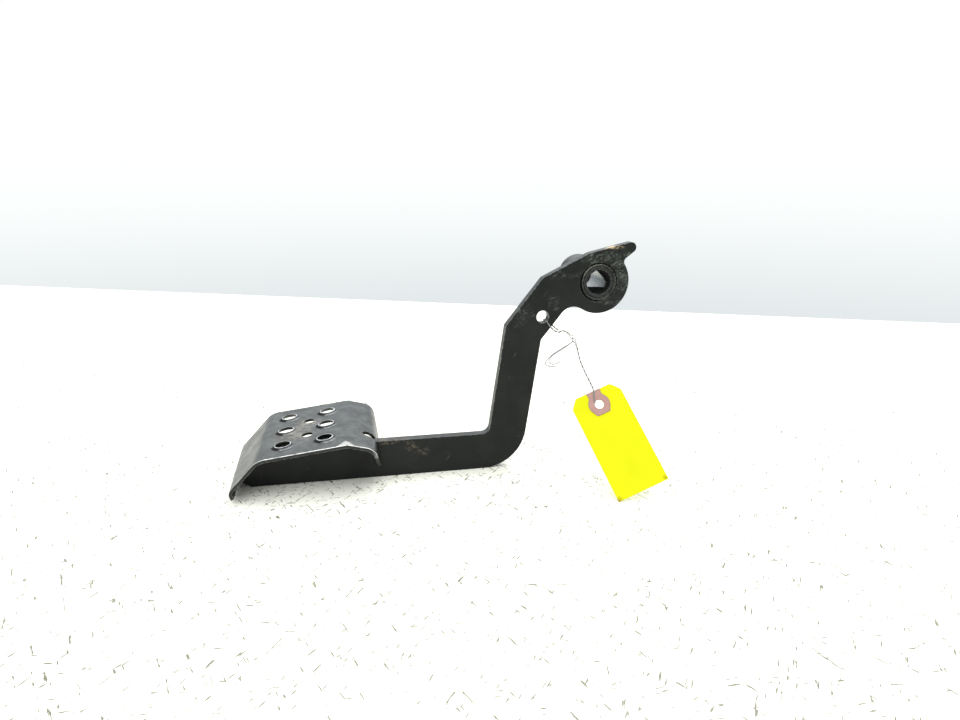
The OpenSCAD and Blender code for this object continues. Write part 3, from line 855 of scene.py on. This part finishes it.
def weld_hub():
    """The fillet round the hub, behind the plate."""
    lo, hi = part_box("hub_weld")
    hub_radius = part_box("pivot_hub")[1].x
    circle = []
    for i in range(HUB_STATIONS):
        a = 2 * math.pi * i / HUB_STATIONS
        out = Vector((math.cos(a), 0, math.sin(a)))
        corner = out * (hub_radius - SUNK_IN_HUB) + ACROSS * (lo.y + OFF_PLATE)
        circle.append((corner, out, ACROSS))
    leg = (hi.x - hub_radius) * LEG_SHARE
    place_bead(bead_mesh("rippled_hub_weld", [(circle, True)], leg, 0.0022, 3), "hub_weld")


def weld_ramp():
    """A bead on each side of the arm's nose, up under the ramp."""
    lo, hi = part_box("ramp_welds")
    leg = hi.y - HALF_PLATE
    drop = Vector((1, 0, -1)).normalized()
    low_end = Vector((lo.x, 0, lo.z + leg * drop.x))
    high_end = Vector((hi.x - leg * drop.x, 0, hi.z))
    runs = []
    for side in (-1, 1):
        face = side * HALF_PLATE * ACROSS
        runs.append((straight(low_end + face, high_end + face, side * ACROSS, drop), False))
    place_bead(bead_mesh("rippled_ramp_welds", runs, leg * LEG_SHARE, 0.0019, 5), "ramp_welds")


def weld_flange():
    """An upright bead between the arm's hub side and the pad's rear flange."""
    lo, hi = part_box("flange_weld")
    leg = (hi.y - HALF_PLATE) * LEG_SHARE
    low, high = (Vector((hi.x, HALF_PLATE, z)) for z in (lo.z, hi.z))
    run = (straight(low, high, ACROSS, Vector((-1, 0, 0))), False)
    place_bead(bead_mesh("rippled_flange_weld", [run], leg, 0.0017, 7), "flange_weld")


weld_hub()
weld_ramp()
weld_flange()

# ---------------------------------------------------------------- CAD nodes
MERGE_GAP = 0.00001
FLAT_WITHIN = math.radians(0.4)
SHARP_FROM = math.radians(28)
# How wide each node's rounded edges are
BEVELS = {"arm_plate": 0.0004, "foot_pad": 0.00022, "pivot_hub": 0.0002, "pivot_sleeve": 0.00015}


def soften(obj, width):
    """Merges the mesh's split edges, joins its flat faces and rounds its sharp edges."""
    weld = obj.modifiers.new("weld", "WELD")
    weld.merge_threshold = MERGE_GAP
    flat = obj.modifiers.new("flat_faces", "DECIMATE")
    flat.decimate_type = "DISSOLVE"
    flat.angle_limit = FLAT_WITHIN
    bevel = obj.modifiers.new("bevel", "BEVEL")
    bevel.width = width
    bevel.segments = 2
    bevel.limit_method = "ANGLE"
    bevel.angle_limit = SHARP_FROM
    normals = obj.modifiers.new("normals", "WEIGHTED_NORMAL")
    normals.weight = 90
    normals.keep_sharp = False


for name, width in BEVELS.items():
    soften(NODES[name], width)
dress(NODES["arm_plate"], arm_paint())
dress(NODES["foot_pad"], pad_paint())
dress(NODES["pivot_hub"], hub_paint())
dress(NODES["pivot_sleeve"], sleeve_finish())
dress(NODES["tag_card"], card_finish())
patch_mat = patch_finish()
for name in ("tag_patch_front", "tag_patch_back"):
    dress(NODES[name], patch_mat)
wire_mat = wire_finish()
for piece in (tie, tail_a, tail_b):
    dress(piece, wire_mat)

# ---------------------------------------------------------------- stage and light
# Two points on the straight edge where the table ends, behind the object
EDGE_LEFT = Vector((-0.814, 0.950))
EDGE_RIGHT = Vector((0.660, 0.328))
# How far the table goes on past them, and how far it comes forward
TABLE_REACH = 12
TABLE_DEPTH = 16


def table_top():
    run = (EDGE_RIGHT - EDGE_LEFT).normalized()
    far_left = EDGE_LEFT - run * TABLE_REACH
    far_right = EDGE_RIGHT + run * TABLE_REACH
    front = Vector((run.y, -run.x)) * TABLE_DEPTH
    bm = bmesh.new()
    corners = (far_left, far_left + front, far_right + front, far_right)
    bm.faces.new([bm.verts.new((q.x, q.y, FLOOR_Z)) for q in corners])
    table = mesh_object("table_top", bm, smooth_faces=False)
    dress(table, table_finish())


def world_light():
    """Pale all round to the eye; the light itself comes from above and behind."""
    world = bpy.data.worlds.new("world")
    scene.world = world
    world.use_nodes = True
    tree = world.node_tree
    back = tree.nodes["Background"]

    def node(kind, **settings):
        n = tree.nodes.new(kind)
        for k, v in settings.items():
            setattr(n, k, v)
        return n

    def ramp(value, low, high):
        """0 at low and 1 at high, with soft ends."""
        n = node("ShaderNodeMapRange", interpolation_type="SMOOTHSTEP")
        tree.links.new(value, n.inputs[0])
        for i, v in enumerate((low, high, 0.0, 1.0)):
            n.inputs[i + 1].default_value = v
        return n.outputs[0]

    def mix(fac, a, b):
        n = node("ShaderNodeMix", data_type="RGBA")
        tree.links.new(fac, n.inputs[0])
        for i, v in ((6, a), (7, b)):
            if isinstance(v, bpy.types.NodeSocket):
                tree.links.new(v, n.inputs[i])
            else:
                n.inputs[i].default_value = v
        return n.outputs[2]

    split = node("ShaderNodeSeparateXYZ")
    tree.links.new(node("ShaderNodeTexCoord").outputs["Generated"], split.inputs[0])
    x, y, z = (split.outputs[letter] for letter in "XYZ")
    behind = ramp(y, -0.5, 0.45)
    right = ramp(x, -0.6, 0.5)
    front_low = mix(right, rgb(0.5, 0.51, 0.51), rgb(0.12, 0.12, 0.12))
    front_high = mix(right, rgb(1.15, 1.17, 1.17), rgb(0.4, 0.41, 0.41))
    horizon = mix(behind, front_low, rgb(0.66, 0.70, 0.73))
    sky = mix(behind, front_high, rgb(1.12, 1.18, 1.23))
    level = mix(ramp(z, 0.04, 0.32), horizon, sky)
    light = mix(ramp(z, 0.3, 0.8), level, rgb(2.6, 2.62, 2.6))
    seen = mix(ramp(z, -0.24, 0.03), rgb(0.75, 0.79, 0.81), rgb(1.0, 1.03, 1.02))
    ray = node("ShaderNodeLightPath").outputs["Is Camera Ray"]
    tree.links.new(mix(ray, light, seen), back.inputs[0])
    back.inputs[1].default_value = 1.0


TOP_LIGHT_AT = Vector((0.4, 0.4, 0.95))
TOP_LIGHT_AIM = Vector((-0.11, 0.0, -0.05))
TOP_LIGHT_SIDE = 0.5
TOP_LIGHT_POWER = 3


def top_light():
    data = bpy.data.lights.new("top_light", "AREA")
    data.shape = "RECTANGLE"
    data.size = data.size_y = TOP_LIGHT_SIDE
    data.energy = TOP_LIGHT_POWER
    obj = link(bpy.data.objects.new("top_light", data))
    obj.location = TOP_LIGHT_AT
    obj.rotation_euler = (TOP_LIGHT_AIM - TOP_LIGHT_AT).to_track_quat("-Z", "Y").to_euler()


table_top()
world_light()
top_light()
